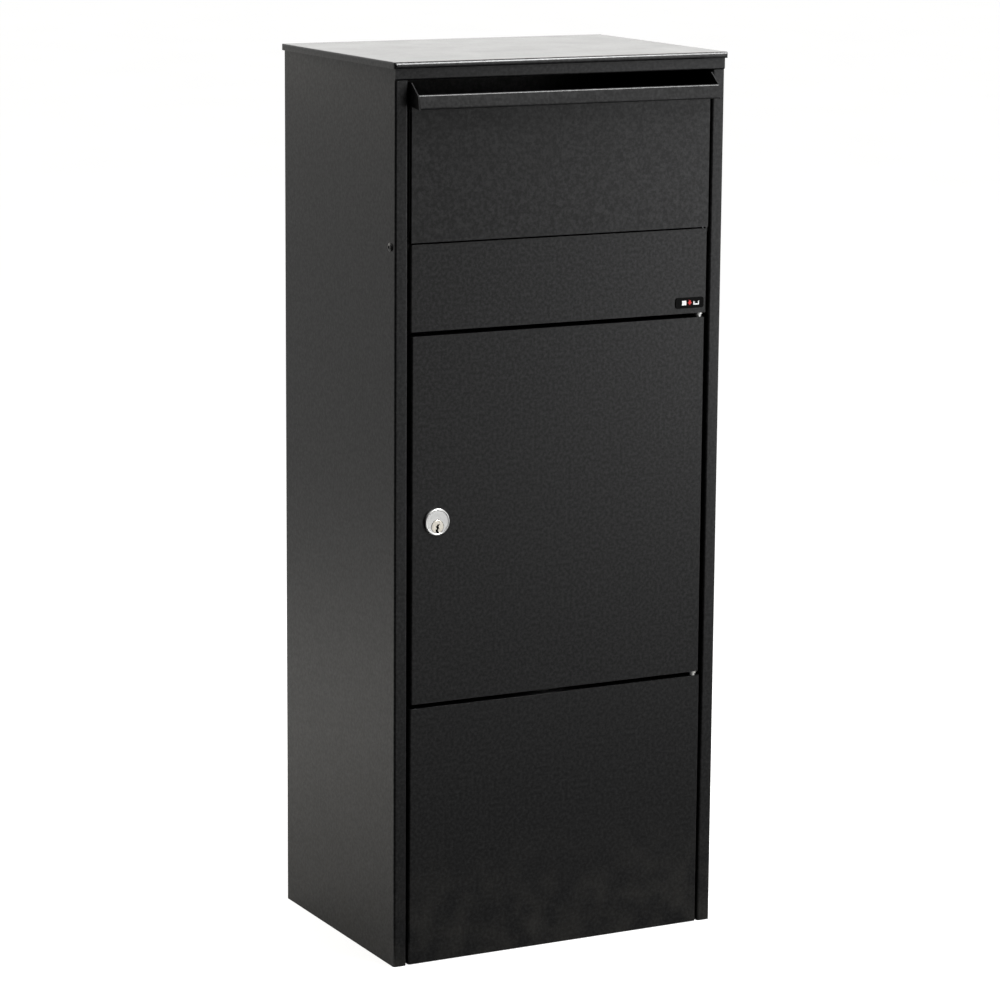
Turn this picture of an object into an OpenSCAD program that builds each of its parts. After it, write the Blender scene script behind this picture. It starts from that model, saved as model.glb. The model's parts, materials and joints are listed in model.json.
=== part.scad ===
// Parcel locker of folded sheet steel, with a drop hatch above a lockable door.
// X runs to the right, Y to the back and Z up. The origin is the centre of the footprint, on the floor.
// Every module below works in front coordinates, where Y = 0 is the front plane of the posts.

/* [Cabinet] */
// Width over the two side panels
body_w = 405; // [400:1:420]
// Depth from the front plane to the back
body_d = 288; // [280:1:330]
// Height to the top of the lid
total_h = 1000; // [998:1:1010]
// Thickness of every sheet
sheet = 1.5; // [1.2:0.1:1.5]
// Outside radius of the folded corners
fold_r = 2.5; // [2.2:0.1:3]
// Width of each front post
post_w = 15.5; // [15:0.5:17]
// Depth of the post's inward return
post_d = 25; // [23:1:30]
// Width of the side panels' back returns
back_return = 18; // [15:1:25]

/* [Lid and rail] */
// Height of the lid's edge, which is rolled into a round nose at the front
lid_edge = 7.2; // [6.6:0.2:8]
// How far the lid stands out past the body at the sides and back
lid_out = 2.5; // [2:0.1:3.5]
// Outside radius of the lid's side and back folds
lid_fold_r = 2; // [1.8:0.1:2.5]
// Radius of the lid's corners, seen from above
lid_corner_r = 4; // [3:0.5:5]
// Height of the rail from its lower edge to the lid's top
rail_h = 19.5; // [18:0.5:22]

/* [Front panels] */
// Top edge of the fixed lower panel
lower_top = 292.4; // [280:0.1:300]
// Gap above and below the door
door_gap_z = 5.1; // [4.5:0.1:6]
// Height of the door
door_h = 407.5; // [400:0.5:410]
// Gap beside the door
door_gap_x = 4.3; // [3.5:0.1:5]
// Gap beside the fixed panels
panel_gap = 2.7; // [2.5:0.1:3]
// Height of the fixed middle panel
mid_h = 94.4; // [92:0.2:96]
// Depth of the door's returns
door_return = 18; // [16:1:18]

/* [Hatch] */
// Seam between the middle panel and the hatch
seam = 2; // [1.8:0.1:2.4]
// Distance of the hatch's pivot behind the front plane
pivot_y = 11; // [10.8:0.1:11.2]
// Distance of the hatch's pivot below the middle panel's top edge
pivot_drop = 2.5; // [2.3:0.1:2.7]
// Height of the flap's face up to the grip trough
flap_h = 147; // [144:1:148]
// How far the grip trough stands out from the flap
trough_out = 21; // [18:0.5:22]
// Height of the trough's front wall
trough_h = 14.5; // [12:0.5:15]
// Length of the chute plate
chute_len = 181.5; // [170:0.5:182]

/* [Lock and hinges] */
// Distance of the lock from the centre line
lock_x = -152; // [-153:1:-145]
// Height of the lock's centre
lock_z = 500; // [450:5:550]
// Diameter of the lock's face
lock_face_d = 30; // [29:0.5:32]
// How far the lock's face stands proud
lock_proud = 3.5; // [2.5:0.5:4]
// Diameter of the lock's plug
plug_d = 15; // [14:0.5:15]
// Distance of the plug's axis below the lock's centre
plug_drop = 5; // [4.5:0.1:5]
// Distance of the door's hinge axis from its right edge
hinge_in = 5.7; // [5.4:0.1:6]
// Distance of the door's hinge axis behind the front plane
hinge_y = 5.8; // [5.7:0.1:6]

/* [Fixing holes] */
// Diameter of the wall-fixing holes
wall_hole_d = 8.5; // [6:0.5:10]
// Spacing of the wall-fixing holes across
wall_x = 280; // [240:10:300]
// Spacing of the wall-fixing holes up
wall_z = 320; // [280:10:340]
// Diameter of the floor-anchor holes
floor_hole_d = 10.5; // [8:0.5:12]
// Spacing of the floor-anchor holes across
floor_x = 300; // [240:10:320]
// Spacing of the floor-anchor holes from front to back
floor_y = 180; // [140:10:200]

/* [Hidden] */
$fn = 48;
half_w = body_w / 2;
open_x = half_w - post_w;           // half the width between the posts
half_t = sheet / 2;
lid_under = total_h - sheet;
lid_low = total_h - lid_edge;
lid_nose_r = lid_edge / 2;
lid_front = lid_nose_r + 0.4;       // how far the nose stands out past the front plane
rail_z = total_h - rail_h;          // lower edge of the rail
panel_x = open_x - panel_gap;       // half width of the fixed panels
door_x = open_x - door_gap_x;       // half width of the door
door_z = lower_top + door_gap_z;    // lower edge of the door
door_top = door_z + door_h;
mid_z = door_top + door_gap_z;
mid_top = mid_z + mid_h;
pivot_z = mid_top - pivot_drop;
flap_z = mid_top + seam;            // lower edge of the flap
trough_z = flap_z + flap_h;         // where the trough leaves the flap
trough_fall = 2.7;                  // drop of the trough's floor towards its front wall
wall_lean = 3.4;                    // how far the front wall leans back
hem_w = 3.5;                        // width of the hem along the trough's edge
hem_drop = 7;                       // length of the hem's inner leg
gusset_z = rail_z - 2.5;            // top of the cheeks' gussets
cheek_x = open_x - 1.9;             // outer face of the hatch's cheeks
hatch_x = cheek_x - sheet;          // half width between the cheeks
hub_r = 8.2;
sector_r = 164;                     // radius of the cheeks' rim about the pivot
chute_y = half_t;                   // where the chute's sheet meets the flap
chute_z = mid_top + 15;
chute_fall = 28.4;                  // slope of the closed chute, in degrees
chute_dir = [cos(chute_fall), -sin(chute_fall)];
chute_tip = [chute_y, chute_z] + chute_len * chute_dir;
chute_lip = 7.5;                    // length of the lip at the chute's end
edge_drop = 14;                     // cheek's lower edge below the chute
pivot_d = 6;
pivot_play = 0.05;                  // radial play of every running fit
bush_d = 9;
bush_flange_d = 14;
guard_y = 182;                      // front face of the guard baffle
guard_z = mid_top + 38;             // underside of the guard's lip
pad_t = 1.4;                        // thickness of the hatch's stop pads
hinge_x = door_x - hinge_in;
hinge_pin_d = 5;
hinge_shoulder_d = 7;
hinge_flange_d = 9.6;
hinge_bush_d = 8.2;
collar_play = 0.3;
barrel_d = lock_face_d - 3;
barrel_len = 20;
plug_z = lock_z - plug_drop;
cam_y = 22;                         // front face of the cam
cam_t = 2;
tang = 8;                           // side of the plug's square tang
stop_y = 20;                        // front face of the strike and door stops
stop_reach = 14;                    // how far they reach into the opening
back_y = body_d - 2 * sheet;        // front face of the back panel
floor_top = lower_top - sheet;      // top face of the compartment floor
fit = 0.2;                          // play between sheets that slide together
rest_y = 130;                       // place of the hatch's rest bumpers
screw_d = 5;
screw_hole_d = 5.4;
screw_y = 10;
screw_zs = [60, 240, mid_z + 25, mid_z + 55];
stop_zs = [door_z + 40, door_top - 65];
flap_rivet_zs = [flap_z + 45, flap_z + 85, flap_z + 125];
chute_rivet_ss = [45, 85, 125, 160];
back_rivet_zs = [60, 340, 660, 940];
lid_stud_ys = [70, body_d - 70];
badge = [36, 12, 1];
steel = [0.17, 0.17, 0.175];
zinc = [0.72, 0.72, 0.7];
satin = [0.78, 0.76, 0.72];
rubber = [0.07, 0.07, 0.07];
nylon = [0.09, 0.09, 0.09];

// ---- Folded sheet: a polyline along the middle of the sheet, with round folds ----

function unit(v) = v / norm(v);
function left_of(v) = [-v[1], v[0]];
function turned(v, a) = [v[0] * cos(a) - v[1] * sin(a), v[0] * sin(a) + v[1] * cos(a)];

// Places along one fold: [point, left-hand normal] at each step of the turn
function fold(before, at, after, r, steps) =
    let (
        a = unit(at - before),
        b = unit(after - at),
        side = sign(a[0] * b[1] - a[1] * b[0]),
        angle = acos(min(1, max(-1, a * b))),
        start = at - a * r * tan(angle / 2),
        centre = start + left_of(a) * r * side
    )
    [
        for (k = [0 : steps])
            let (d = turned(a, side * angle * k / steps))
            [centre - left_of(d) * r * side, left_of(d)]
    ];

function folded(path, r, steps) = [
    for (i = [0 : len(path) - 1])
        each i == 0 ? [[path[0], left_of(unit(path[1] - path[0]))]]
        : i == len(path) - 1 ? [[path[i], left_of(unit(path[i] - path[i - 1]))]]
        : fold(path[i - 1], path[i], path[i + 1], r, steps)
];

// Outline of a folded sheet of thickness t
module sheet_profile(path, t = sheet, r = fold_r, steps = 5) {
    places = folded(path, r - t / 2, steps);
    polygon(concat(
        [for (p = places) p[0] + p[1] * t / 2],
        [for (i = [len(places) - 1 : -1 : 0]) places[i][0] - places[i][1] * t / 2]
    ));
}

// ---- Small helpers ----

module from_front() {
    translate([0, -body_d / 2, 0])
        children();
}

module both_sides() {
    for (side = [0, 1])
        mirror([side, 0, 0])
            children();
}

// A box given by two corners
module block(low, high) {
    translate(low)
        cube(high - low);
}

// Extrudes a shape drawn in (Y, Z) along X, from x0 to x1
module along_x(x0, x1) {
    translate([x0, 0, 0])
        rotate([90, 0, 90])
            linear_extrude(x1 - x0)
                children();
}

// Extrudes a shape drawn in (X, Z) along Y, from y0 to y1
module along_y(y0, y1) {
    translate([0, y1, 0])
        rotate([90, 0, 0])
            linear_extrude(y1 - y0)
                children();
}

// A cylinder along X, Y or Z between two values
module rod_x(y, z, x0, x1, d) {
    translate([x0, y, z])
        rotate([0, 90, 0])
            cylinder(h = x1 - x0, d = d);
}

module rod_y(x, z, y0, y1, d) {
    translate([x, y0, z])
        rotate([-90, 0, 0])
            cylinder(h = y1 - y0, d = d);
}

module rod_z(x, y, z0, z1, d) {
    translate([x, y, z0])
        cylinder(h = z1 - z0, d = d);
}

module round_rect(w, h, r) {
    for (x = [-1, 1], y = [-1, 1])
        translate([x * (w / 2 - r), y * (h / 2 - r)])
            circle(r);
    square([w - 2 * r, h], center = true);
    square([w, h - 2 * r], center = true);
}

// ---- Cabinet ----

// The left side panel's plan, from the post's return to the back return
function side_path() = [
    [-open_x - half_t, post_d],
    [-open_x - half_t, half_t],
    [-half_w + half_t, half_t],
    [-half_w + half_t, body_d - half_t],
    [-half_w + back_return, body_d - half_t]
];

// The same panel beside the rail, where it has no post
function upper_side_path() = [
    [-half_w + half_t, sheet],
    [-half_w + half_t, body_d - half_t],
    [-half_w + back_return, body_d - half_t]
];

module left_side() {
    post_top = rail_z - fit;
    side_top = lid_under - 2.5;
    difference() {
        union() {
            linear_extrude(post_top)
                sheet_profile(side_path());
            translate([0, 0, post_top])
                linear_extrude(side_top - post_top)
                    sheet_profile(upper_side_path());
            along_y(30, body_d - 30)
                sheet_profile([
                    [-half_w + half_t, post_top], [-half_w + half_t, lid_under - half_t],
                    [-half_w + 16, lid_under - half_t]
                ]);
        }
        rod_x(pivot_y, pivot_z, -half_w - 1, -open_x + 1, pivot_d + 0.2);
        for (z = screw_zs)
            rod_x(screw_y, z, -open_x - 2 * sheet, -open_x + 1, screw_hole_d);
        for (z = back_rivet_zs)
            rod_y(-half_w + back_return / 2, z, body_d - 2 * sheet, body_d + 1, 3.2);
        for (y = lid_stud_ys)
            rod_z(-half_w + 9, y, lid_under - 3, lid_under + 1, screw_hole_d);
    }
}

module left_side_panel() {
    color(steel)
        from_front()
            left_side();
}

module right_side_panel() {
    color(steel)
        from_front()
            mirror([1, 0, 0])
                left_side();
}

module back_panel() {
    color(steel)
        from_front()
            difference() {
                block([-half_w + fold_r + fit, back_y, 1.7], [half_w - fold_r - fit, back_y + sheet, lid_under - 1]);
                for (x = [-1, 1], z = [-1, 1])
                    rod_y(x * wall_x / 2, 520 + z * wall_z / 2, back_y - 1, body_d, wall_hole_d);
                for (x = [-1, 1], z = back_rivet_zs)
                    rod_y(x * (half_w - back_return / 2), z, back_y - 1, body_d, 3.2);
            }
}

module base_pan() {
    side = half_w - sheet;
    front = post_d + 0.5;
    rim = 25;
    color(steel)
        from_front()
            difference() {
                union() {
                    block([-side, front, 0], [side, back_y, sheet]);
                    block([-panel_x + 3, sheet, 0], [panel_x - 3, front, sheet]);
                    block([-panel_x + 3, sheet, 0], [panel_x - 3, 2 * sheet, rim]);
                    block([-side, back_y - sheet, 0], [side, back_y, rim]);
                    both_sides()
                        block([-side, front, 0], [-side + sheet, back_y, rim]);
                }
                for (x = [-1, 1], y = [-1, 1])
                    rod_z(x * floor_x / 2, body_d / 2 + y * floor_y / 2, -1, sheet + 1, floor_hole_d);
            }
}

module compartment_floor() {
    side = half_w - sheet;
    front = post_d + 0.5;
    skirt = 20;
    low = floor_top - sheet;
    color(steel)
        from_front() {
            block([-side, front, low], [side, back_y, floor_top]);
            block([-panel_x + 2, 12, low], [panel_x - 2, front, floor_top]);
            block([-side, back_y - sheet, low - skirt], [side, back_y, low]);
            both_sides()
                block([-side, front, low - skirt], [-side + sheet, back_y, low]);
        }
}

// Points of an arc about a centre, from angle a0 to a1
function arc(centre, r, a0, a1) =
    [for (k = [0 : 10]) let (a = a0 + (a1 - a0) * k / 10) centre + r * [cos(a), sin(a)]];

// The lid's outlines, for its outside (inset 0) and its hollow (inset by the sheet)
function lid_bottom(inset) = inset > 0 ? lid_low - 1 : lid_low;

function lid_length_section(inset) =
    let (
        nose = [lid_nose_r - lid_front, total_h - lid_nose_r],
        back = body_d + lid_out - inset,
        top = total_h - inset,
        r = lid_fold_r - inset
    )
    concat(
        arc(nose, lid_nose_r - inset, 90, 270),
        inset > 0 ? [[nose[0], lid_bottom(inset)]] : [],
        [[back, lid_bottom(inset)]],
        arc([back - r, top - r], r, 0, 90)
    );

function lid_width_section(inset) =
    let (side = half_w + lid_out - inset, top = total_h - inset, r = lid_fold_r - inset)
    concat(
        [[-side, lid_bottom(inset)]],
        arc([r - side, top - r], r, 180, 90),
        arc([side - r, top - r], r, 90, 0),
        [[side, lid_bottom(inset)]]
    );

function lid_plan(inset) =
    let (
        side = half_w + lid_out - lid_corner_r,
        front = lid_corner_r - lid_front,
        back = body_d + lid_out - lid_corner_r,
        r = lid_corner_r - inset
    )
    concat(
        arc([side, back], r, 0, 90), arc([-side, back], r, 90, 180),
        arc([-side, front], r, 180, 270), arc([side, front], r, 270, 360)
    );

module lid_form(inset) {
    side = half_w + lid_out;
    intersection() {
        along_x(-side, side)
            polygon(lid_length_section(inset));
        along_y(-lid_front, body_d + lid_out)
            polygon(lid_width_section(inset));
        translate([0, 0, lid_low - 2])
            linear_extrude(lid_edge + 4)
                polygon(lid_plan(inset));
    }
}

module lid() {
    color(steel)
        from_front()
            difference() {
                lid_form(0);
                lid_form(sheet);
            }
}

module top_front_rail() {
    color(steel)
        from_front()
            difference() {
                along_x(-half_w, half_w)
                    sheet_profile([
                        [half_t, lid_under - 0.7], [half_t, rail_z + half_t], [18, rail_z + half_t]
                    ], r = 2.2);
                both_sides()
                    block([-half_w - 1, sheet, rail_z - 1], [-half_w + sheet + fit, 20, lid_under + 1]);
            }
}

// A fixed front panel's plan: a face with a return at each side
function panel_path(x, deep) = [[-x + half_t, deep], [-x + half_t, half_t], [x - half_t, half_t], [x - half_t, deep]];

module panel_screw_holes(zs) {
    for (z = zs)
        rod_x(screw_y, z, -panel_x - 1, panel_x + 1, screw_hole_d);
}

module mid_front_panel() {
    deep_top = mid_top - 26;
    color(steel)
        from_front()
            difference() {
                union() {
                    translate([0, 0, mid_z])
                        linear_extrude(deep_top - mid_z)
                            sheet_profile(panel_path(panel_x, 20));
                    translate([0, 0, deep_top])
                        linear_extrude(mid_top - deep_top)
                            sheet_profile(panel_path(panel_x, fold_r));
                    block([-panel_x + 9, half_t, mid_top - sheet], [panel_x - 9, 12, mid_top]);
                    block([-panel_x + sheet, half_t, mid_z], [panel_x - sheet, post_d, mid_z + sheet]);
                }
                rod_z(hinge_x, hinge_y, mid_z - 1, mid_z + 3, hinge_pin_d + 0.2);
                panel_screw_holes([screw_zs[2], screw_zs[3]]);
            }
}

module lower_front_panel() {
    color(steel)
        from_front()
            difference() {
                union() {
                    translate([0, 0, 0.5])
                        linear_extrude(lower_top - 0.5)
                            sheet_profile(panel_path(panel_x, 20));
                    block([-panel_x + sheet, half_t, lower_top - sheet], [panel_x - sheet, post_d, lower_top]);
                }
                rod_z(hinge_x, hinge_y, lower_top - 3, lower_top + 1, hinge_pin_d + 0.2);
                panel_screw_holes([screw_zs[0], screw_zs[1]]);
            }
}

module badge_plate() {
    color([0.02, 0.02, 0.02])
        from_front()
            translate([panel_x - badge[0] / 2 - 4.3, 0, mid_z + 12])
                rotate([90, 0, 0])
                    linear_extrude(badge[2])
                        round_rect(badge[0], badge[1], 2.5);
}

module guard_baffle() {
    side = half_w - sheet;
    top = lid_under - 12;
    color(steel)
        from_front() {
            block([-side, guard_y, guard_z], [side, guard_y + sheet, top]);
            block([-hatch_x + 3.6, guard_y - 16, guard_z], [hatch_x - 3.6, guard_y, guard_z + sheet]);
            both_sides()
                block([-side, guard_y, guard_z], [-side + sheet, guard_y + 16, top]);
        }
}

module hatch_stop_pads() {
    color(rubber)
        from_front()
            both_sides()
                block([-120, guard_y - 15, guard_z - pad_t], [-60, guard_y - 1, guard_z]);
}

// Height of the cheek's lower edge at distance y behind the front plane
function cheek_edge_z(y) =
    let (start = [chute_y, chute_z] + edge_drop * [chute_dir[1], -chute_dir[0]])
    start[1] + (y - start[0]) * chute_dir[1] / chute_dir[0];

bumper_d = 10;
bumper_h = 6;
bumper_top = cheek_edge_z(rest_y + bumper_d / 2) - 0.55;

module hatch_rest_brackets() {
    top = bumper_top - bumper_h;
    side = half_w - sheet;
    color(steel)
        from_front()
            both_sides() {
                block([-side, rest_y - 12, top - sheet], [-hatch_x + 6, rest_y + 12, top]);
                block([-side, rest_y - 12, top], [-side + sheet, rest_y + 12, top + 18]);
            }
}

module hatch_rest_bumpers() {
    color(rubber)
        from_front()
            both_sides()
                rod_z(-cheek_x + half_t, rest_y, bumper_top - bumper_h, bumper_top, bumper_d);
}

// ---- Hatch pivots ----

module hatch_pivot_screws() {
    end_x = hatch_x - 2.1;
    color(zinc)
        from_front()
            both_sides() {
                difference() {
                    translate([-half_w, pivot_y, pivot_z])
                        rotate([0, -90, 0])
                            rotate_extrude()
                                polygon([[0, 0], [4.75, 0], [4.6, 0.9], [3.9, 1.7], [2.8, 2.2], [0, 2.2]]);
                    translate([-half_w - 3, pivot_y, pivot_z])
                        rotate([0, 90, 0])
                            cylinder(h = 2.2, d = 3.6, $fn = 6);
                }
                rod_x(pivot_y, pivot_z, -half_w, -end_x, pivot_d);
            }
}

module hatch_pivot_spacers() {
    color(zinc)
        from_front()
            both_sides()
                difference() {
                    rod_x(pivot_y, pivot_z, -half_w + sheet, -open_x - sheet, 10);
                    rod_x(pivot_y, pivot_z, -half_w, -open_x, pivot_d + 0.2);
                }
}

module hatch_retaining_rings() {
    ring_x = hatch_x - 1;
    color(zinc)
        from_front()
            both_sides()
                difference() {
                    rod_x(pivot_y, pivot_z, -ring_x, -ring_x + 0.8, 10);
                    rod_x(pivot_y, pivot_z, -ring_x - 1, -ring_x + 2, pivot_d);
                }
}

// ---- Door hinges and lock side ----

// A pin whose shoulder and flange fill the gap, dir is +1 up or -1 down. The upper pin's flange bears on
// the panel; the lower pin's flange carries the door's bush.
module hinge_pin(flange_z, dir) {
    span = door_gap_z - collar_play;
    flange_h = 2.2;
    color(zinc)
        from_front()
            translate([hinge_x, hinge_y, flange_z])
                mirror([0, 0, dir > 0 ? 0 : 1]) {
                    cylinder(h = span, d = hinge_shoulder_d);
                    translate([0, 0, dir > 0 ? span - flange_h : 0])
                        cylinder(h = flange_h, d = hinge_flange_d);
                    translate([0, 0, -sheet - 5])
                        cylinder(h = sheet + 5 + span + 8, d = hinge_pin_d);
                }
}

module upper_hinge_pin() {
    hinge_pin(mid_z, -1);
}

module lower_hinge_pin() {
    hinge_pin(lower_top, 1);
}

module hinge_pin_nuts() {
    color(zinc)
        from_front()
            for (z = [mid_z + sheet, lower_top - sheet - 4])
                translate([hinge_x, hinge_y, z])
                    difference() {
                        cylinder(h = 4, d = 8 / cos(30), $fn = 6);
                        translate([0, 0, -1])
                            cylinder(h = 6, d = hinge_pin_d + 0.1);
                    }
}

// An angle on the left post whose leg stands behind the door's edge
module post_angle(z0, z1) {
    block([-open_x, 8, z0], [-open_x + sheet, stop_y + sheet, z1]);
    block([-open_x, stop_y, z0], [-open_x + stop_reach, stop_y + sheet, z1]);
}

module strike_plate() {
    color(zinc)
        from_front()
            post_angle(plug_z - 22, plug_z + 22);
}

module door_stop_brackets() {
    color(steel)
        from_front()
            for (z = stop_zs)
                post_angle(z, z + 25);
}

module door_stop_bumpers() {
    color(rubber)
        from_front()
            for (z = stop_zs)
                rod_y(-door_x + 1.5, z + 12.5, door_return + 0.4, stop_y, 8);
}

// ---- Fasteners of the cabinet ----

module lid_studs() {
    color(zinc)
        from_front()
            both_sides()
                for (y = lid_stud_ys)
                    rod_z(-half_w + 9, y, lid_under - 9, lid_under, screw_d);
}

module hex_nut(z0) {
    translate([0, 0, z0])
        difference() {
            cylinder(h = 4, d = 8 / cos(30), $fn = 6);
            translate([0, 0, -1])
                cylinder(h = 6, d = screw_d + 0.1);
        }
}

module lid_nuts() {
    color(zinc)
        from_front()
            both_sides()
                for (y = lid_stud_ys)
                    translate([-half_w + 9, y, 0])
                        hex_nut(lid_under - sheet - 4);
}

// Places children at every panel screw, with Z pointing out towards the post
module at_panel_screws() {
    from_front()
        both_sides()
            for (z = screw_zs)
                translate([-panel_x, screw_y, z])
                    rotate([0, -90, 0])
                        children();
}

module panel_screws() {
    color(zinc)
        at_panel_screws() {
            translate([0, 0, -sheet - 2.6])
                cylinder(h = 2.6, d = 9);
            translate([0, 0, -sheet])
                cylinder(h = 2 * sheet + panel_gap + 5, d = screw_d);
        }
}

module panel_spacers() {
    color(zinc)
        at_panel_screws()
            difference() {
                cylinder(h = panel_gap, d = 9);
                translate([0, 0, -1])
                    cylinder(h = panel_gap + 2, d = screw_hole_d);
            }
}

module panel_nuts() {
    color(zinc)
        at_panel_screws()
            hex_nut(panel_gap + sheet);
}

module back_rivets() {
    color(zinc)
        from_front()
            both_sides()
                for (z = back_rivet_zs)
                    translate([-half_w + back_return / 2, body_d, z])
                        rotate([90, 0, 0])
                            rotate_extrude()
                                polygon([[0, 0], [1.6, 0], [1.6, 2 * sheet], [3.2, 2 * sheet],
                                         [2.6, 2 * sheet + 0.9], [0, 2 * sheet + 1.3]]);
}

// ---- Door ----

module door_panel() {
    inner = door_x - sheet;
    corner_r = 2;
    color(steel)
        from_front()
            difference() {
                intersection() {
                    union() {
                        translate([0, 0, door_z])
                            linear_extrude(door_h)
                                sheet_profile(panel_path(door_x, door_return));
                        for (z = [door_z, door_top - sheet])
                            block([-inner, half_t, z], [inner, door_return, z + sheet]);
                    }
                    translate([0, door_return + 1, door_z + door_h / 2])
                        rotate([90, 0, 0])
                            linear_extrude(door_return + 2)
                                round_rect(2 * door_x, door_h, corner_r);
                }
                rod_y(lock_x, lock_z, -1, 3, barrel_d + 0.2);
                for (z = [door_z, door_top - sheet])
                    rod_z(hinge_x, hinge_y, z - 1, z + sheet + 1, hinge_bush_d);
            }
}

module door_stiffener() {
    flange = 14;
    crown = 16;
    deep = 13;
    y0 = sheet + half_t;
    color(steel)
        from_front()
            translate([0, 0, door_z + 25])
                linear_extrude(door_h - 50)
                    sheet_profile([
                        [-crown - flange, y0], [-crown, y0], [-crown + 3, deep],
                        [crown - 3, deep], [crown, y0], [crown + flange, y0]
                    ], r = 2.2);
}

module door_hinge_bushes() {
    bush_h = 4;
    color(nylon)
        from_front()
            for (z = [door_z, door_top - bush_h])
                translate([hinge_x, hinge_y, z])
                    difference() {
                        cylinder(h = bush_h, d = hinge_bush_d);
                        translate([0, 0, -1])
                            cylinder(h = bush_h + 2, d = hinge_pin_d + 2 * pivot_play);
                    }
}

// Places children on the lock's centre line, with Z pointing into the door
module at_lock(z) {
    from_front()
        translate([lock_x, 0, z])
            rotate([-90, 0, 0])
                children();
}

module lock_body() {
    r = lock_face_d / 2;
    p = lock_proud;
    color(satin)
        difference() {
            at_lock(lock_z)
                rotate_extrude($fn = 96)
                    polygon([
                        [0, 0.4 - p], [r - 2.2, 0.4 - p], [r - 1.8, -p], [r - 0.9, -p], [r, 0.9 - p],
                        [r, 0], [barrel_d / 2, 0], [barrel_d / 2, barrel_len], [0, barrel_len]
                    ]);
            at_lock(plug_z)
                translate([0, 0, -p - 1])
                    cylinder(h = p + barrel_len + 2, d = plug_d + 2 * pivot_play, $fn = 64);
        }
}

module lock_nut() {
    color(zinc)
        at_lock(lock_z)
            translate([0, 0, sheet])
                difference() {
                    cylinder(h = 5, d = 33 / cos(30), $fn = 6);
                    translate([0, 0, -1])
                        cylinder(h = 7, d = barrel_d + 0.1);
                }
}

// The plug turns in the body; its keyway winds from just above its centre out through its lower edge
module lock_plug() {
    front = 0.1 - lock_proud;
    chamfer = 0.5;
    r = plug_d / 2;
    slot_w = 3;
    winding = [[1.2, -2.8], [1.2, -2.2], [-0.7, -0.4], [0.5, 1.8], [-1.2, 3.6], [-0.5, 5.5], [1.2, r + 1]];
    color(satin)
        at_lock(plug_z)
            difference() {
                union() {
                    rotate_extrude($fn = 96)
                        polygon([
                            [0, front], [r - chamfer, front], [r, front + chamfer],
                            [r, barrel_len + 0.5], [0, barrel_len + 0.5]
                        ]);
                    translate([-tang / 2, -tang / 2, barrel_len])
                        cube([tang, tang, cam_y + cam_t - barrel_len]);
                }
                translate([0, 0, front - 1])
                    linear_extrude(12)
                        polygon(concat(
                            [for (p = winding) p - [slot_w / 2, 0]],
                            [for (k = [len(winding) - 1 : -1 : 0]) winding[k] + [slot_w / 2, 0]]
                        ));
                translate([0, 0, 12])
                    cylinder(h = 20, d = 4);
            }
}

module lock_cam() {
    reach = 28;
    width = 13;
    color(zinc)
        at_lock(plug_z)
            translate([0, 0, cam_y])
                linear_extrude(cam_t)
                    difference() {
                        union() {
                            circle(d = 19);
                            translate([-width / 2, -reach + width / 2])
                                square([width, reach - width / 2]);
                            translate([0, -reach + width / 2])
                                circle(d = width);
                        }
                        square(tang + 0.1, center = true);
                    }
}

module cam_screw() {
    color(zinc)
        at_lock(plug_z) {
            translate([0, 0, cam_y + cam_t])
                cylinder(h = 2.8, d = 11);
            translate([0, 0, 14])
                cylinder(h = cam_y + cam_t - 14, d = 4);
        }
}

// ---- Hatch ----

// Middle line of the flap's sheet, from its lower edge to the hem of the grip trough
trough_front = [-half_t - trough_out, trough_z - trough_fall];
trough_edge = trough_front + [wall_lean, trough_h];
flap_path = [
    [-half_t, flap_z],
    [-half_t, trough_z],
    trough_front,
    trough_edge,
    trough_edge + [hem_w, 0],
    trough_edge + [hem_w - 0.8, -hem_drop]
];

module hatch_flap() {
    return_z0 = flap_z + 35;
    return_z1 = trough_z - 7;
    return_d = 13;
    color(steel)
        from_front()
            difference() {
                union() {
                    along_x(-hatch_x, hatch_x)
                        sheet_profile(flap_path, r = 2.2);
                    both_sides()
                        block([-hatch_x, -half_t, return_z0], [-hatch_x + sheet, return_d, return_z1]);
                }
                for (z = flap_rivet_zs)
                    rod_x(7, z, -hatch_x - 1, hatch_x + 1, 3.2);
            }
}

// The cheek's outline in (Y, Z): gusset at the trough, rim about the pivot, edge under the chute, hub
function cheek_outline() = concat(
    [
        [2, chute_z + 1],
        [2, trough_z - 3.5],
        [-sheet, trough_z - 0.4],
        trough_front + [-0.5, -0.9],
        trough_edge + [-0.7, 0.2],
        trough_edge + [0.7, 0.8],
        [-2.3, gusset_z],
        [6, gusset_z]
    ],
    [for (a = [4 : 5 : 114]) [pivot_y, pivot_z] + sector_r * [sin(a), cos(a)]],
    [[chute_tip[0] - 3, cheek_edge_z(chute_tip[0] - 3)]],
    [for (a = [-62 : -14.8 : -240]) [pivot_y, pivot_z] + hub_r * [cos(a), sin(a)]]
);

module left_cheek() {
    difference() {
        along_x(-cheek_x, -hatch_x)
            polygon(cheek_outline());
        rod_x(pivot_y, pivot_z, -cheek_x - 1, -hatch_x + 1, bush_d);
        at_cheek_rivets()
            translate([0, 0, -3])
                cylinder(h = 6, d = 3.2);
    }
}

// Places children at the left cheek's rivets, on its inner face, with Z pointing outwards
module at_cheek_rivets() {
    flap_points = [for (z = flap_rivet_zs) [7, z]];
    chute_points = [
        for (s = chute_rivet_ss)
            [chute_y, chute_z] + s * chute_dir + 7 * [chute_dir[1], -chute_dir[0]]
    ];
    for (p = concat(flap_points, chute_points))
        translate([-hatch_x, p[0], p[1]])
            rotate([0, -90, 0])
                children();
}

module hatch_cheek_left() {
    color(steel)
        from_front()
            left_cheek();
}

module hatch_cheek_right() {
    color(steel)
        from_front()
            mirror([1, 0, 0])
                left_cheek();
}

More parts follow.
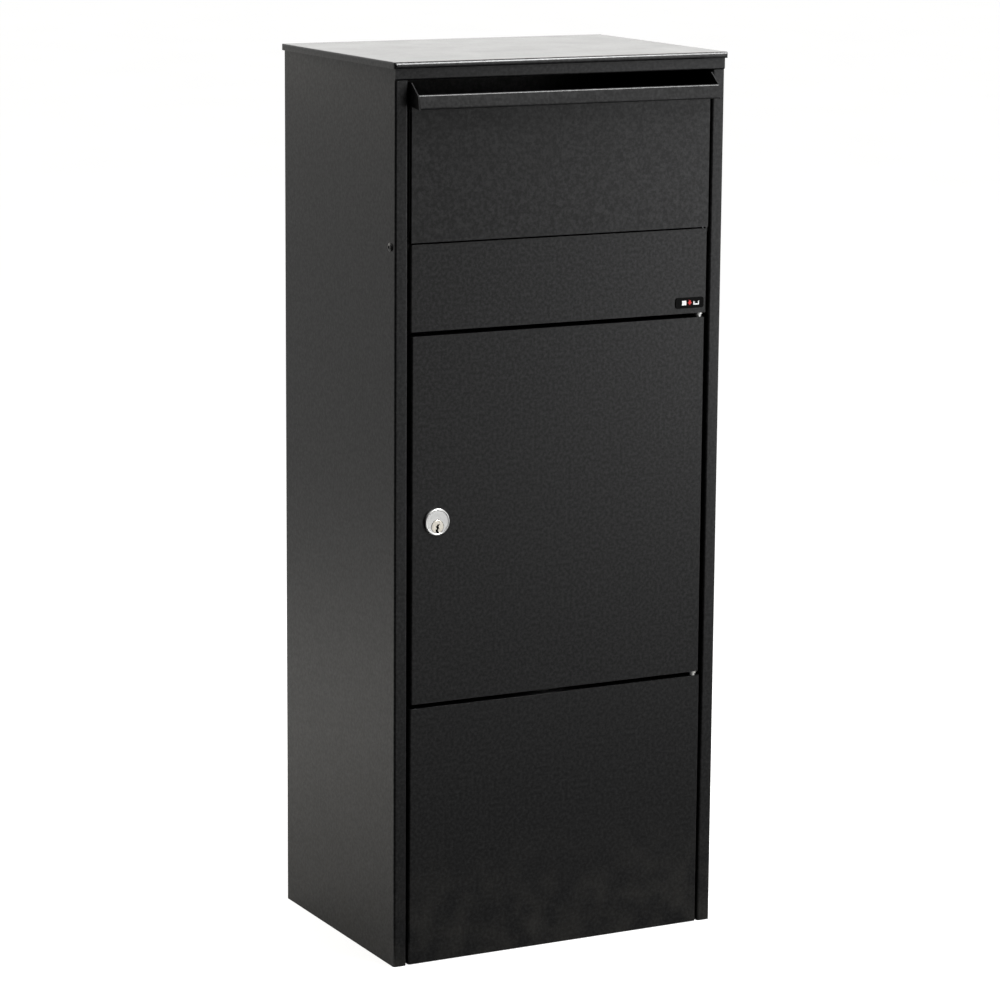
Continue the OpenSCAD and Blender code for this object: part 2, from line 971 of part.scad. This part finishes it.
module chute_plate() {
    down = [chute_dir[1], -chute_dir[0]];
    start = [chute_y, chute_z];
    skirt = 12;
    color(steel)
        from_front()
            difference() {
                union() {
                    along_x(-hatch_x, hatch_x)
                        sheet_profile([
                            [chute_y, chute_z + 18.5], start, chute_tip,
                            chute_tip + chute_lip * unit(down + [0.3, 0])
                        ], r = 2.2);
                    both_sides()
                        along_x(-hatch_x, -hatch_x + sheet)
                            polygon([
                                start + 30 * chute_dir, start + 172 * chute_dir,
                                start + 168 * chute_dir + skirt * down, start + 34 * chute_dir + skirt * down
                            ]);
                }
                both_sides()
                    at_cheek_rivets()
                        translate([0, 0, -3])
                            cylinder(h = 6, d = 3.2);
            }
}

module hatch_bushes() {
    color(nylon)
        from_front()
            both_sides()
                difference() {
                    union() {
                        rod_x(pivot_y, pivot_z, -cheek_x, -hatch_x + 0.6, bush_d);
                        rod_x(pivot_y, pivot_z, -cheek_x - 1.2, -cheek_x, bush_flange_d);
                    }
                    rod_x(pivot_y, pivot_z, -open_x, -hatch_x + 2, pivot_d + 2 * pivot_play);
                }
}

module hatch_rivets() {
    color(zinc)
        from_front()
            both_sides()
                at_cheek_rivets()
                    rotate_extrude()
                        polygon([
                            [0, -sheet - 0.9], [2.4, -sheet - 0.9], [2.4, -sheet], [1.6, -sheet],
                            [1.6, sheet], [3, sheet], [2.6, sheet + 0.7], [0, sheet + 1]
                        ]);
}

left_side_panel();
right_side_panel();
back_panel();
base_pan();
compartment_floor();
lid();
top_front_rail();
mid_front_panel();
lower_front_panel();
badge_plate();
guard_baffle();
hatch_stop_pads();
hatch_rest_brackets();
hatch_rest_bumpers();
hatch_pivot_screws();
hatch_pivot_spacers();
hatch_retaining_rings();
upper_hinge_pin();
lower_hinge_pin();
hinge_pin_nuts();
strike_plate();
door_stop_brackets();
door_stop_bumpers();
lid_studs();
lid_nuts();
panel_screws();
panel_spacers();
panel_nuts();
back_rivets();
door_panel();
door_stiffener();
door_hinge_bushes();
lock_body();
lock_nut();
lock_plug();
lock_cam();
cam_screw();
hatch_flap();
hatch_cheek_left();
hatch_cheek_right();
chute_plate();
hatch_bushes();
hatch_rivets();
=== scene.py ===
"""Looks of a sheet-steel parcel locker: materials, edges, the badge's sign, floor, light and camera."""
import json
import math

import bpy
from mathutils import Matrix, Vector


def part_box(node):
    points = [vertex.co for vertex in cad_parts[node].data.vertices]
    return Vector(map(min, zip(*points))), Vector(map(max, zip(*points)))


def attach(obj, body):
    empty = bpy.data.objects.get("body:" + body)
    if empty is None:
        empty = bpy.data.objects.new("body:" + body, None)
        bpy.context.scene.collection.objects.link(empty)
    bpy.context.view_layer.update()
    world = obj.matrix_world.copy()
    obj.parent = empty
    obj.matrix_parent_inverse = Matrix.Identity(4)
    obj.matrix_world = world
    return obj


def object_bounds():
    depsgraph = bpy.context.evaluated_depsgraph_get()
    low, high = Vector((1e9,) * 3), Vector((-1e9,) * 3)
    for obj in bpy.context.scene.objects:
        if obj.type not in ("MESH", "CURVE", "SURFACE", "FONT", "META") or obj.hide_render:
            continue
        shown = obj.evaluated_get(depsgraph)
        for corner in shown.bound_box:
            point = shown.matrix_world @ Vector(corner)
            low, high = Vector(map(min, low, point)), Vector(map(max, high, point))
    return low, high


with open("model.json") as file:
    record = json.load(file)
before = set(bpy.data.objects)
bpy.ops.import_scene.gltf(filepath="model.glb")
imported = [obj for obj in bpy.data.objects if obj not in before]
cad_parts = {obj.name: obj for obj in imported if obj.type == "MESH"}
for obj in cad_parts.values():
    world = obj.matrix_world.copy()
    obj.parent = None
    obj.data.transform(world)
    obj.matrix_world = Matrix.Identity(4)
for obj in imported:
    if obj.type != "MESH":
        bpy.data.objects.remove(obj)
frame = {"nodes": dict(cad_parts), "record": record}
nodes = frame["nodes"]
cad_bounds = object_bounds()
MM = 0.001


# ---- Shader helpers ----

class Shader:
    """A material with a Principled BSDF, and short calls for the nodes that feed it."""

    def __init__(self, name, colour, roughness, metallic=0.0, ior=1.45):
        self.material = bpy.data.materials.new(name)
        self.material.use_nodes = True
        self.tree = self.material.node_tree
        self.bsdf = self.tree.nodes["Principled BSDF"]
        self.bsdf.inputs["Base Color"].default_value = (*colour, 1)
        self.bsdf.inputs["Roughness"].default_value = roughness
        self.bsdf.inputs["Metallic"].default_value = metallic
        self.bsdf.inputs["IOR"].default_value = ior
        self.position = self.tree.nodes.new("ShaderNodeTexCoord").outputs["Object"]

    def link(self, source, target):
        self.tree.links.new(source, target)
        return target

    def set_input(self, node, key, value):
        if isinstance(value, bpy.types.NodeSocket):
            self.link(value, node.inputs[key])
        else:
            node.inputs[key].default_value = value

    def mapped(self, scale, location=(0, 0, 0), rotation=(0, 0, 0)):
        node = self.tree.nodes.new("ShaderNodeMapping")
        self.link(self.position, node.inputs["Vector"])
        node.inputs["Location"].default_value = location
        node.inputs["Rotation"].default_value = rotation
        node.inputs["Scale"].default_value = scale
        return node.outputs["Vector"]

    def noise(self, size, detail=2.0, roughness=0.5, vector=None):
        """Noise whose largest features are about size metres across."""
        node = self.tree.nodes.new("ShaderNodeTexNoise")
        self.link(vector or self.position, node.inputs["Vector"])
        node.inputs["Scale"].default_value = 1 / size
        node.inputs["Detail"].default_value = detail
        node.inputs["Roughness"].default_value = roughness
        return node.outputs["Fac"]

    def ramp(self, value, low, high, out_low=0.0, out_high=1.0, smooth=False):
        node = self.tree.nodes.new("ShaderNodeMapRange")
        node.interpolation_type = "SMOOTHSTEP" if smooth else "LINEAR"
        self.link(value, node.inputs["Value"])
        for key, number in (("From Min", low), ("From Max", high), ("To Min", out_low), ("To Max", out_high)):
            node.inputs[key].default_value = number
        return node.outputs["Result"]

    def math(self, operation, a, b=0.0):
        node = self.tree.nodes.new("ShaderNodeMath")
        node.operation = operation
        self.set_input(node, 0, a)
        self.set_input(node, 1, b)
        return node.outputs["Value"]

    def split(self, vector):
        node = self.tree.nodes.new("ShaderNodeSeparateXYZ")
        self.link(vector, node.inputs["Vector"])
        return node.outputs

    def mix(self, factor, a, b):
        node = self.tree.nodes.new("ShaderNodeMix")
        node.data_type = "RGBA"
        self.set_input(node, 0, factor)
        self.set_input(node, 6, a if isinstance(a, bpy.types.NodeSocket) else (*a, 1))
        self.set_input(node, 7, b if isinstance(b, bpy.types.NodeSocket) else (*b, 1))
        return node.outputs[2]

    def colour(self, socket):
        self.link(socket, self.bsdf.inputs["Base Color"])

    def roughness(self, socket):
        self.link(socket, self.bsdf.inputs["Roughness"])

    def bump(self, height, depth, strength=1.0):
        """Adds relief of depth metres, on top of any relief already there."""
        node = self.tree.nodes.new("ShaderNodeBump")
        node.inputs["Strength"].default_value = strength
        node.inputs["Distance"].default_value = depth
        self.link(height, node.inputs["Height"])
        normal = self.bsdf.inputs["Normal"]
        if normal.is_linked:
            self.link(normal.links[0].from_socket, node.inputs["Normal"])
        self.link(node.outputs["Normal"], normal)


def powder_coat(name, worn_and_highlit, ior=1.37):
    """Satin anthracite powder coat: pimpled grain, orange peel and faint clouding, with dust low down."""
    s = Shader(name, (0.006, 0.006, 0.006), 0.3, ior=ior)
    grain = s.noise(3.6 * MM, 2.0, 0.65)
    pimples = s.noise(1.3 * MM, 1.0)
    peel = s.noise(9 * MM, 1.0)
    cloud = s.noise(260 * MM, 2.0)
    streak = s.noise(60 * MM, 4.0, 0.6, s.mapped((1, 1, 9)))
    base = s.mix(s.ramp(cloud, 0.3, 0.7), (0.0030, 0.0031, 0.0033), (0.0040, 0.0040, 0.0041))
    base = s.mix(s.ramp(grain, 0.42, 0.72), base, (0.0090, 0.0090, 0.0094))
    height = s.split(s.position)[2]
    low = s.ramp(height, 0.0, 0.16, 0.35, 0.0, smooth=True)
    dust = s.math("MULTIPLY", low, s.ramp(s.noise(35 * MM, 4.0, 0.6), 0.4, 0.75))
    base = s.mix(dust, base, (0.045, 0.042, 0.036))
    # edge wear and painted highlight: noise patches lighten the coat, as rubbed paint and as a painted
    # highlight along the edges
    if worn_and_highlit:
        rub_and_sheen = s.ramp(s.noise(14 * MM, 3.0, 0.6), 0.45, 0.7, 0.10, 0.5)
        base = s.mix(rub_and_sheen, base, (0.024, 0.024, 0.025))
    s.colour(base)
    s.link(s.ramp(grain, 0.35, 0.70, 0.42, 0.63), s.bsdf.inputs["Specular IOR Level"])
    rough = s.ramp(streak, 0.3, 0.7, 0.29, 0.33)
    s.roughness(s.math("ADD", rough, s.math("MULTIPLY", dust, 0.3)))
    s.bump(peel, 0.10 * MM, 0.3)
    s.bump(grain, 0.10 * MM, 0.5)
    s.bump(pimples, 0.03 * MM, 0.4)
    return s.material


def black_zinc(name):
    """Black-passivated steel: deep satin black that rubs to grey on its high spots."""
    s = Shader(name, (0.02, 0.02, 0.021), 0.34, ior=1.5)
    s.bsdf.inputs["Specular IOR Level"].default_value = 0.6
    patch = s.noise(2.5 * MM, 3.0, 0.6)
    s.colour(s.mix(s.ramp(patch, 0.5, 0.8, 0, 0.7), (0.012, 0.012, 0.013), (0.07, 0.068, 0.064)))
    s.roughness(s.ramp(patch, 0.3, 0.7, 0.28, 0.42))
    s.bump(patch, 0.02 * MM, 0.5)
    return s.material


def zinc_plate(name):
    """Bright zinc on turned and pressed steel, with cloudy passivation and fine tool marks."""
    s = Shader(name, (0.8, 0.8, 0.8), 0.4, metallic=1.0)
    cloud = s.noise(6 * MM, 3.0, 0.6)
    s.colour(s.mix(s.ramp(cloud, 0.35, 0.7), (0.86, 0.87, 0.88), (0.70, 0.68, 0.62)))
    marks = s.noise(2.2 * MM, 3.0, 0.7, s.mapped((1, 1, 14)))
    s.roughness(s.ramp(marks, 0.3, 0.7, 0.45, 0.60))
    s.bump(marks, 0.02 * MM, 0.4)
    return s.material


def satin_nickel(name, centre, colour, face=None):
    """Nickel plate turned about a centre line along Y: faint concentric tool marks and finger haze.

    Where face is given, the metal behind that Y is painted near black: painted shade, as inside a keyway.
    """
    s = Shader(name, colour, 0.3, metallic=1.0)
    around = s.mapped((1, 0, 1), (-centre[0], 0, -centre[2]))
    length = s.tree.nodes.new("ShaderNodeVectorMath")
    length.operation = "LENGTH"
    s.link(around, length.inputs[0])
    ring = s.tree.nodes.new("ShaderNodeCombineXYZ")
    s.link(length.outputs["Value"], ring.inputs["X"])
    turned = s.noise(0.22 * MM, 2.0, 0.7, ring.outputs["Vector"])
    haze = s.noise(7 * MM, 3.0, 0.6)
    dark = tuple(0.88 * c for c in colour)
    plate = s.mix(s.ramp(haze, 0.35, 0.75, 0, 0.6), colour, dark)
    if face is not None:
        # painted shade: the plug's metal behind its face turns near black, standing in for the shade inside
        # the keyway
        depth = s.ramp(s.split(s.position)[1], face + 0.15 * MM, face + 0.4 * MM)
        plate = s.mix(depth, plate, (0.006, 0.006, 0.006))
    s.colour(plate)
    s.roughness(s.math("ADD", s.ramp(turned, 0.3, 0.7, 0.24, 0.36), s.ramp(haze, 0.4, 0.8, 0, 0.1)))
    s.bump(turned, 0.012 * MM, 0.5)
    return s.material


def moulded_rubber(name):
    """Black rubber with a matt skin, fine pitting and grey bloom."""
    s = Shader(name, (0.02, 0.02, 0.02), 0.75)
    bloom = s.noise(4 * MM, 4.0, 0.6)
    s.colour(s.mix(s.ramp(bloom, 0.45, 0.8), (0.018, 0.018, 0.019), (0.06, 0.06, 0.06)))
    s.roughness(s.ramp(bloom, 0.3, 0.7, 0.68, 0.85))
    s.bump(s.noise(0.7 * MM, 2.0), 0.05 * MM, 0.5)
    return s.material


def nylon(name):
    """Black moulded bearing plastic with a faint grain and grease haze."""
    s = Shader(name, (0.012, 0.012, 0.013), 0.42)
    s.colour(s.mix(s.ramp(s.noise(5 * MM, 3.0), 0.35, 0.75), (0.010, 0.010, 0.011), (0.026, 0.025, 0.023)))
    s.roughness(s.ramp(s.noise(3 * MM, 2.0), 0.3, 0.7, 0.38, 0.55))
    s.bump(s.noise(0.5 * MM, 2.0), 0.02 * MM, 0.4)
    return s.material


def gloss_badge(name):
    """Gloss black acrylic with hairline scratches and dust specks."""
    s = Shader(name, (0.001, 0.001, 0.001), 0.2, ior=1.12)
    hair = s.noise(1.2 * MM, 5.0, 0.7, s.mapped((0.15, 1, 2.4), rotation=(0, 0.5, 0)))
    specks = s.noise(0.9 * MM, 2.0, 0.6)
    s.colour(s.mix(s.ramp(specks, 0.66, 0.78), (0.001, 0.001, 0.001), (0.012, 0.012, 0.012)))
    s.roughness(s.ramp(hair, 0.45, 0.7, 0.14, 0.3))
    s.bump(hair, 0.01 * MM, 0.3)
    return s.material


def raised_ink(name, colour):
    """Thick screen-printed ink whose film is slightly uneven."""
    s = Shader(name, colour, 0.5)
    film = s.noise(1.5 * MM, 3.0, 0.6)
    s.colour(s.mix(s.ramp(film, 0.35, 0.7), colour, tuple(0.78 * c for c in colour)))
    s.roughness(s.ramp(film, 0.3, 0.7, 0.42, 0.6))
    s.bump(film, 0.02 * MM, 0.4)
    return s.material


lock_centre = (Vector(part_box("lock_body")[0]) + Vector(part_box("lock_body")[1])) / 2
plug_centre = (Vector(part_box("lock_plug")[0]) + Vector(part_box("lock_plug")[1])) / 2
MATERIALS = {
    "powder_coat": powder_coat("powder_coat", worn_and_highlit=False),
    "zinc": zinc_plate("zinc"),
    "satin_nickel": satin_nickel("satin_nickel", lock_centre, (0.85, 0.85, 0.84)),
    "rubber": moulded_rubber("rubber"),
    "nylon": nylon("nylon"),
    "badge": gloss_badge("badge"),
    "black_zinc": black_zinc("black_zinc"),
}
edge_wear_and_highlight = powder_coat("powder_coat_edge", worn_and_highlit=True)
lid_coat = powder_coat("powder_coat_lid", worn_and_highlit=False, ior=1.52)
# the plug's copy is given its face's Y, so its metal behind the face carries painted shade
plug_nickel = satin_nickel("plug_nickel", plug_centre, (0.95, 0.90, 0.80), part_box("lock_plug")[0][1])

# ---- CAD nodes: materials and broken edges ----

slot_of = {part["node"]: part["material_slot"] for part in frame["record"]["subparts"]}
# Widths of the broken edges in millimetres, by material slot and then for the nodes that are cut sharper
BEVELS = {
    "powder_coat": 0.3, "zinc": 0.2, "black_zinc": 0.15, "satin_nickel": 0.15,
    "badge": 0.2, "rubber": 0.4, "nylon": 0.15,
}
FINE_EDGES = {"hatch_flap": 0.08, "hatch_cheek_left": 0.08, "hatch_cheek_right": 0.08}
OWN_MATERIALS = {"lock_plug": plug_nickel, "lid": lid_coat}

for name, node in nodes.items():
    slot = slot_of[name]
    node.data.materials.clear()
    node.data.materials.append(OWN_MATERIALS.get(name, MATERIALS[slot]))
    weld = node.modifiers.new("weld", "WELD")
    weld.merge_threshold = 1e-6
    bevel = node.modifiers.new("broken_edges", "BEVEL")
    bevel.width = FINE_EDGES.get(name, BEVELS[slot]) * MM
    bevel.segments = 2
    bevel.limit_method = "ANGLE"
    bevel.angle_limit = math.radians(32)
    bevel.use_clamp_overlap = True
    bevel.harden_normals = False
    # the bevel faces take the lighter edge copy: edge wear and painted highlight
    if slot == "powder_coat" and name not in FINE_EDGES and name != "lid":
        node.data.materials.append(edge_wear_and_highlight)
        bevel.material = 1
    node.modifiers.new("face_normals", "WEIGHTED_NORMAL")

# ---- A generic sign on the blank badge: a parcel, an arrow and a tray, in raised ink ----

badge_low, badge_high = (Vector(corner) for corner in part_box("badge_plate"))
badge_centre = (badge_low + badge_high) / 2
white_ink = raised_ink("white_ink", (0.85, 0.85, 0.85))
red_ink = raised_ink("red_ink", (0.55, 0.03, 0.025))
INK_RAISED = 0.25 * MM
INK_SUNK = 0.02 * MM


def badge_sign(name, outline, material):
    """A flat prism on the badge's face, from a counterclockwise outline in millimetres about its centre."""
    depths = (badge_low.y - INK_RAISED, badge_low.y + INK_SUNK)
    corners = [(badge_centre.x + x * MM, badge_centre.z + z * MM) for x, z in outline]
    count = len(corners)
    mesh = bpy.data.meshes.new(name)
    mesh.from_pydata(
        [(x, y, z) for y in depths for x, z in corners], [],
        [tuple(range(count)), tuple(reversed(range(count, 2 * count)))]
        + [(k, k + count, (k + 1) % count + count, (k + 1) % count) for k in range(count)],
    )
    mesh.materials.append(material)
    obj = bpy.data.objects.new(name, mesh)
    bpy.context.scene.collection.objects.link(obj)
    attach(obj, "cabinet")


badge_sign("sign_parcel", [(-10, -2.4), (-4.6, -2.4), (-4.6, 2.6), (-10, 2.6)], white_ink)
badge_sign("sign_arrow", [
    (0, -2.4), (2.9, 0.6), (1.1, 0.6), (1.1, 2.8), (-1.1, 2.8), (-1.1, 0.6), (-2.9, 0.6),
], red_ink)
badge_sign("sign_tray", [
    (4.6, -2.4), (12, -2.4), (12, 1.6), (10.6, 1.6), (10.6, -1), (6, -1), (6, 1.6), (4.6, 1.6),
], white_ink)

# ---- Floor, light and camera ----

def plane(name, size, material):
    half = size / 2
    corners = [(-half, -half, 0), (half, -half, 0), (half, half, 0), (-half, half, 0)]
    mesh = bpy.data.meshes.new(name)
    mesh.from_pydata(corners, [], [(0, 1, 2, 3)])
    mesh.materials.append(material)
    obj = bpy.data.objects.new(name, mesh)
    bpy.context.scene.collection.objects.link(obj)
    return obj


def add_nodes(tree):
    """Returns short calls that add Map Range, Dot Product and Mix nodes to a tree and give their outputs."""

    def spread(value, low, high, out_low, out_high):
        node = tree.nodes.new("ShaderNodeMapRange")
        node.interpolation_type = "SMOOTHSTEP"
        tree.links.new(value, node.inputs["Value"])
        for key, number in (("From Min", low), ("From Max", high), ("To Min", out_low), ("To Max", out_high)):
            node.inputs[key].default_value = number
        return node.outputs["Result"]

    def facing(vector, direction):
        """How nearly a unit vector runs along a direction, from -1 to 1."""
        node = tree.nodes.new("ShaderNodeVectorMath")
        node.operation = "DOT_PRODUCT"
        tree.links.new(vector, node.inputs[0])
        node.inputs[1].default_value = Vector(direction).normalized()
        return node.outputs["Value"]

    def camera_sees(seen, otherwise):
        node = tree.nodes.new("ShaderNodeMix")
        node.data_type = "FLOAT"
        tree.links.new(tree.nodes.new("ShaderNodeLightPath").outputs["Is Camera Ray"], node.inputs[0])
        for index, value in ((2, otherwise), (3, seen)):
            if isinstance(value, bpy.types.NodeSocket):
                tree.links.new(value, node.inputs[index])
            else:
                node.inputs[index].default_value = value
        return node.outputs[0]

    return spread, facing, camera_sees


PAPER_TONE = 0.42
PAPER_GLOW = 0.73
MIRRORED_TONES = (0.16, 0.66)       # of the paper near the locker and far from it, as the steel mirrors it; the dark near tone is painted shadow, as if the locker shaded the paper
MIRRORED_REACH = (0.6, 4.5)         # metres over which the one turns into the other
BEHIND = (-0.62, 0.78, 0)           # where painted light, a lighter strip on the paper, lights up the left side's foot
BEHIND_PAINTED_LIGHT = 0.5
DARK_SIDE = (-0.72, -0.69, 0)       # the unlit part of the studio, which blackens the front left bend
DARK_EDGE = (0.50, 0.74)
WINDOW = (0.50, 0.85, 0.12)         # low and bright behind the locker, mirrored in the lid
WINDOW_EDGE = (0.86, 0.97)
front_left_corner = Vector((cad_bounds[0][0], cad_bounds[0][1], 0))


def floor_paper():
    """Seamless studio paper, near white to the eye, which the steel mirrors in greyer tones: painted shadow
    near the locker, painted shade to the front left and a painted pool of light behind the left side.
    """
    s = Shader("studio_floor", (0.8, 0.8, 0.8), 0.8)
    spread, facing, camera_sees = add_nodes(s.tree)
    tone = s.ramp(s.noise(0.4, 3.0), 0.3, 0.7, PAPER_TONE - 0.01, PAPER_TONE + 0.01)
    distance = s.tree.nodes.new("ShaderNodeVectorMath")
    distance.operation = "LENGTH"
    s.link(s.position, distance.inputs[0])
    away = s.tree.nodes.new("ShaderNodeVectorMath")
    away.operation = "NORMALIZE"
    s.link(s.mapped((1, 1, 0), -front_left_corner), away.inputs[0])
    bearing = away.outputs["Vector"]
    # painted shadow: the paper the steel mirrors darkens towards the locker
    grey = spread(distance.outputs["Value"], *MIRRORED_REACH, *MIRRORED_TONES)
    # painted shade: towards the front left the paper the steel mirrors is painted near black, as the unlit
    # part of the studio
    lit = spread(facing(bearing, DARK_SIDE), *DARK_EDGE, 1.0, 0.02)
    # painted light: a lighter strip on the paper behind the left side, mirrored at the side's foot
    behind = spread(facing(bearing, BEHIND), 0.5, 0.8, 0.0, BEHIND_PAINTED_LIGHT)
    s.colour(camera_sees(tone, s.math("MAXIMUM", s.math("MULTIPLY", grey, lit), behind)))
    s.bsdf.inputs["Specular IOR Level"].default_value = 0.0
    s.bsdf.inputs["Emission Color"].default_value = (1, 1, 1, 1)
    s.link(camera_sees(PAPER_GLOW, 0.0), s.bsdf.inputs["Emission Strength"])
    return s.material


def studio_world():
    """White to the camera. To the steel it is a grey room with a low bright window and an unlit side."""
    world = bpy.data.worlds.new("studio")
    world.use_nodes = True
    tree = world.node_tree
    spread, facing, camera_sees = add_nodes(tree)
    seen_from = tree.nodes.new("ShaderNodeTexCoord").outputs["Generated"]
    glow = tree.nodes.new("ShaderNodeMath")
    glow.operation = "MULTIPLY"
    tree.links.new(spread(facing(seen_from, WINDOW), *WINDOW_EDGE, 0.70, 2.0), glow.inputs[0])
    tree.links.new(spread(facing(seen_from, DARK_SIDE), *DARK_EDGE, 1.0, 0.05), glow.inputs[1])
    background = tree.nodes["Background"]
    tree.links.new(camera_sees(1.0, glow.outputs["Value"]), background.inputs["Strength"])
    background.inputs["Color"].default_value = (1, 0.995, 0.98, 1)
    return world


floor = plane("studio_floor", 120, floor_paper())
floor.location.z = -0.0002
bpy.context.scene.world = studio_world()


def softbox(name, location, aim, size, power, colour=(1, 1, 1)):
    """A rectangular lamp that lights and is mirrored, but is left out of the picture itself."""
    data = bpy.data.lights.new(name, "AREA")
    data.shape = "RECTANGLE"
    data.size, data.size_y = size
    data.energy = power
    data.color = colour
    light = bpy.data.objects.new(name, data)
    bpy.context.scene.collection.objects.link(light)
    light.location = location
    light.rotation_mode = "QUATERNION"
    light.rotation_quaternion = (Vector(aim) - Vector(location)).to_track_quat("-Z", "Y")
    light.visible_camera = False


softbox("key_light", (1.55, -1.75, 0.80), (0, 0, 0.65), (1.0, 1.3), 7.5, (0.98, 0.985, 1.0))
softbox("bank_light", (0.95, -1.2, 2.5), (0.95, -1.2, 0), (0.9, 1.5), 115)
softbox("side_card", (-0.75, 0.8, 1.0), (-0.75, 0.8, 0), (1.1, 1.1), 12, (1.0, 0.96, 0.88))

CAMERA_AZIMUTH = math.radians(-27.456)
CAMERA_ELEVATION = math.radians(11.166)
CAMERA_ROLL = math.radians(0.428)
CAMERA_DISTANCE = 4.2479
AIM = Vector((0.0028, 0.0039, 0.4847))

back = Vector((
    math.sin(CAMERA_AZIMUTH) * math.cos(CAMERA_ELEVATION),
    -math.cos(CAMERA_AZIMUTH) * math.cos(CAMERA_ELEVATION),
    math.sin(CAMERA_ELEVATION),
))
right = Vector((math.cos(CAMERA_AZIMUTH), math.sin(CAMERA_AZIMUTH), 0))
up = back.cross(right)
rolled_right = math.cos(CAMERA_ROLL) * right + math.sin(CAMERA_ROLL) * up
rolled_up = math.cos(CAMERA_ROLL) * up - math.sin(CAMERA_ROLL) * right
camera_data = bpy.data.cameras.new("camera")
camera_data.sensor_width = 36
camera_data.lens = 133.77
camera_data.clip_start = 0.05
camera_data.clip_end = 200
camera = bpy.data.objects.new("camera", camera_data)
bpy.context.scene.collection.objects.link(camera)
place = Matrix((rolled_right, rolled_up, back)).transposed().to_4x4()
place.translation = AIM + CAMERA_DISTANCE * back
camera.matrix_world = place
bpy.context.scene.camera = camera
bpy.context.scene.view_settings.view_transform = "Standard"
